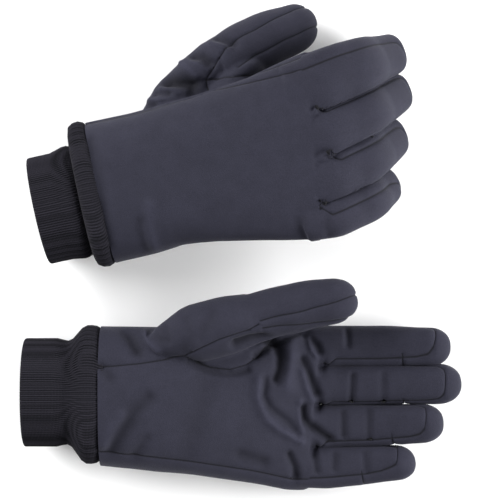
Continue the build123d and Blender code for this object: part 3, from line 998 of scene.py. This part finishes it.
def softshellFinish():
    # raised and sunk scale the cloth colour: painted highlight on the ridges, painted shade in the folds
    look = {"dark": (0.014, 0.014, 0.023), "light": (0.026, 0.026, 0.041),
            # line is painted shade: the dark colour drawn along the seam grooves
            "line": (0.005, 0.005, 0.007), "lineWidth": 0.75, "grain": 1.5, "mottle": 0.12,
            "weave": 2.6, "raised": 1.35, "sunk": 0.32, "sheen": (0.62, 0.62, 0.75)}
    material, nodes, links, shader = newMaterial("softshellCloth")
    cloth = addNode(nodes, "Attribute", attribute_name="cloth")
    gap = addNode(nodes, "Attribute", attribute_name="seamGap")
    fold = addNode(nodes, "Attribute", attribute_name="foldShade")
    grain = addNode(nodes, "TexNoise", {"Scale": look["grain"], "Detail": 4, "Roughness": 0.65})
    mottle = addNode(nodes, "TexNoise", {"Scale": look["mottle"], "Detail": 3})
    weave = addNode(nodes, "TexVoronoi", {"Scale": look["weave"]})
    for texture in (grain, mottle, weave):
        links.new(cloth.outputs["Vector"], texture.inputs["Vector"])
    quarter = addNode(nodes, "Math", {1: 0.25}, operation="MULTIPLY")
    links.new(mottle.outputs["Fac"], quarter.inputs[0])
    mixed = addNode(nodes, "Math", {1: 0.75}, operation="MULTIPLY_ADD")
    links.new(grain.outputs["Fac"], mixed.inputs[0])
    links.new(quarter.outputs[0], mixed.inputs[2])
    ramp = addRamp(nodes, look["dark"], look["light"])
    links.new(mixed.outputs[0], ramp.inputs["Fac"])
    # painted shade and highlight: the cloth colour is scaled down in the folds and up on the ridges
    dim = addNode(nodes, "MapRange", {"From Min": shadeLeast, "From Max": 1.0,
                                      "To Min": look["raised"], "To Max": look["sunk"]})
    links.new(fold.outputs["Fac"], dim.inputs["Value"])
    scaled = addNode(nodes, "VectorMath", operation="SCALE")
    links.new(ramp.outputs["Color"], scaled.inputs[0])
    links.new(dim.outputs["Result"], scaled.inputs["Scale"])
    # painted shade in the seam grooves: the colour goes to the dark line colour near a seam
    paintedSeamShade = addNode(nodes, "MapRange", {"From Min": 0.0, "From Max": look["lineWidth"],
                                       "To Min": 1.0, "To Max": 0.0})
    links.new(gap.outputs["Fac"], paintedSeamShade.inputs["Value"])
    line = addNode(nodes, "Mix", data_type="RGBA")
    links.new(paintedSeamShade.outputs["Result"], line.inputs["Factor"])
    links.new(scaled.outputs["Vector"], line.inputs["A"])
    line.inputs["B"].default_value = (*look["line"], 1)
    links.new(line.outputs["Result"], shader.inputs["Base Color"])
    fine = addNode(nodes, "Bump", {"Strength": 0.35, "Distance": 0.0003})
    links.new(weave.outputs["Distance"], fine.inputs["Height"])
    coarse = addNode(nodes, "Bump", {"Strength": 0.5, "Distance": 0.0004})
    links.new(grain.outputs["Fac"], coarse.inputs["Height"])
    links.new(fine.outputs["Normal"], coarse.inputs["Normal"])
    links.new(coarse.outputs["Normal"], shader.inputs["Normal"])
    setSurface(shader, 0.82, 0.16, 0.06)
    shader.inputs["Sheen Roughness"].default_value = 0.5
    shader.inputs["Sheen Tint"].default_value = (*look["sheen"], 1)
    return material


def knitFinish():
    # deep is painted shade between the ribs; face is the knit's own colour
    look = {"deep": (0.004, 0.004, 0.006), "face": (0.016, 0.015, 0.021), "stitch": 0.9,
            "faceStart": 0.6, "fuzz": 1.7}
    material, nodes, links, shader = newMaterial("ribKnitCloth")
    cloth = addNode(nodes, "Attribute", attribute_name="cloth")
    split = addNode(nodes, "SeparateXYZ")
    links.new(cloth.outputs["Vector"], split.inputs["Vector"])
    turn = addNode(nodes, "Math", {1: 2 * math.pi}, operation="MULTIPLY")
    links.new(split.outputs["Y"], turn.inputs[0])
    wave = addNode(nodes, "Math", operation="COSINE")
    links.new(turn.outputs[0], wave.inputs[0])
    # painted shade: darker towards the valleys between the ribs
    shade = addNode(nodes, "MapRange", {"From Min": -1, "From Max": look["faceStart"]})
    links.new(wave.outputs[0], shade.inputs["Value"])
    rows = addNode(nodes, "Math", {1: 2 * math.pi / look["stitch"]}, operation="MULTIPLY")
    links.new(split.outputs["X"], rows.inputs[0])
    stitch = addNode(nodes, "Math", operation="SINE")
    links.new(rows.outputs[0], stitch.inputs[0])
    fuzz = addNode(nodes, "TexNoise", {"Scale": look["fuzz"], "Detail": 3})
    links.new(cloth.outputs["Vector"], fuzz.inputs["Vector"])
    ribs = addNode(nodes, "Mix", data_type="RGBA")
    links.new(shade.outputs["Result"], ribs.inputs["Factor"])
    ribs.inputs["A"].default_value = (*look["deep"], 1)
    ribs.inputs["B"].default_value = (*look["face"], 1)
    links.new(ribs.outputs["Result"], shader.inputs["Base Color"])
    height = addNode(nodes, "Math", operation="ADD")
    links.new(stitch.outputs[0], height.inputs[0])
    links.new(fuzz.outputs["Fac"], height.inputs[1])
    bump = addNode(nodes, "Bump", {"Strength": 0.4, "Distance": 0.0002})
    links.new(height.outputs[0], bump.inputs["Height"])
    links.new(bump.outputs["Normal"], shader.inputs["Normal"])
    setSurface(shader, 0.9, 0.1, 0.04)
    shader.inputs["Sheen Roughness"].default_value = 0.5
    return material


plainLooks = {
    "fleecePile": {"dark": (0.006, 0.006, 0.008), "light": (0.016, 0.016, 0.020),
                   "scale": 1.2, "bump": 0.8},
    "seamTapeCloth": {"dark": (0.006, 0.006, 0.007), "light": (0.014, 0.014, 0.016),
                      "scale": 2.5, "bump": 0.4},
}


def plainCloth(name):
    look = plainLooks[name]
    material, nodes, links, shader = newMaterial(name)
    cloth = addNode(nodes, "Attribute", attribute_name="cloth")
    pile = addNode(nodes, "TexNoise", {"Scale": look["scale"], "Detail": 5})
    links.new(cloth.outputs["Vector"], pile.inputs["Vector"])
    ramp = addRamp(nodes, look["dark"], look["light"])
    links.new(pile.outputs["Fac"], ramp.inputs["Fac"])
    links.new(ramp.outputs["Color"], shader.inputs["Base Color"])
    bump = addNode(nodes, "Bump", {"Strength": look["bump"], "Distance": 0.0006})
    links.new(pile.outputs["Fac"], bump.inputs["Height"])
    links.new(bump.outputs["Normal"], shader.inputs["Normal"])
    setSurface(shader, 0.95, 0.1, 0.03)
    return material


# ---- floor, lights and camera

stageLook = {
    "floor": (0.97, 0.97, 0.97), "level": -0.0005, "world": 0.42,
    "target": (0.0048, 0.0001), "height": 1.087, "lens": 120,
    "lamps": {"key": (-1.1, 0.65, 0.75), "fill": (1.2, -0.1, 0.6)}, "lampSize": 1.0, "power": 34,
}


def makeStage():
    scene = bpy.context.scene
    scene.view_settings.view_transform = "Standard"
    bm = bmesh.new()
    bmesh.ops.create_grid(bm, x_segments=1, y_segments=1, size=3.0)
    floor = placed("floor", meshFrom(bm, "floor"))
    floor.location.z = stageLook["level"]
    material, nodes, links, shader = newMaterial("paleFloor")
    shader.inputs["Base Color"].default_value = (*stageLook["floor"], 1)
    shader.inputs["Roughness"].default_value = 0.9
    floor.data.materials.append(material)
    world = bpy.data.worlds.new("studio")
    world.use_nodes = True
    background = world.node_tree.nodes["Background"]
    background.inputs["Color"].default_value = (1, 1, 1, 1)
    background.inputs["Strength"].default_value = stageLook["world"]
    scene.world = world
    for name, place in stageLook["lamps"].items():
        lamp = bpy.data.lights.new(name, "AREA")
        lamp.size = stageLook["lampSize"]
        lamp.energy = stageLook["power"]
        holder = placed(name, lamp)
        holder.location = place
        holder.rotation_euler = (-Vector(place)).to_track_quat("-Z", "Y").to_euler()
    camera = bpy.data.cameras.new("camera")
    camera.lens = stageLook["lens"]
    camera.sensor_width = 36
    holder = placed("camera", camera)
    holder.location = (*stageLook["target"], stageLook["height"])
    scene.camera = holder


makeStage()
softshell = softshellFinish()
ribKnit = knitFinish()
fleece = plainCloth("fleecePile")
seamTape = plainCloth("seamTapeCloth")
print("stage and finishes made")

for side in sides:
    panels = makeLayer(side, shell, panelNames, [softshell, fleece], shell["wall"])
    attach(side, panels)
    print(side, "shell panels made", len(panels))
    liners = makeLayer(side, lining, linerNames, [fleece], lining["wall"])
    liners["wrist_seam_tape"].data.materials[0] = seamTape
    attach(side, liners)
    print(side, "liners made", len(liners))
    makeCuffPly(side, False, ribKnit)
    makeCuffPly(side, True, ribKnit)
    print(side, "cuff made")
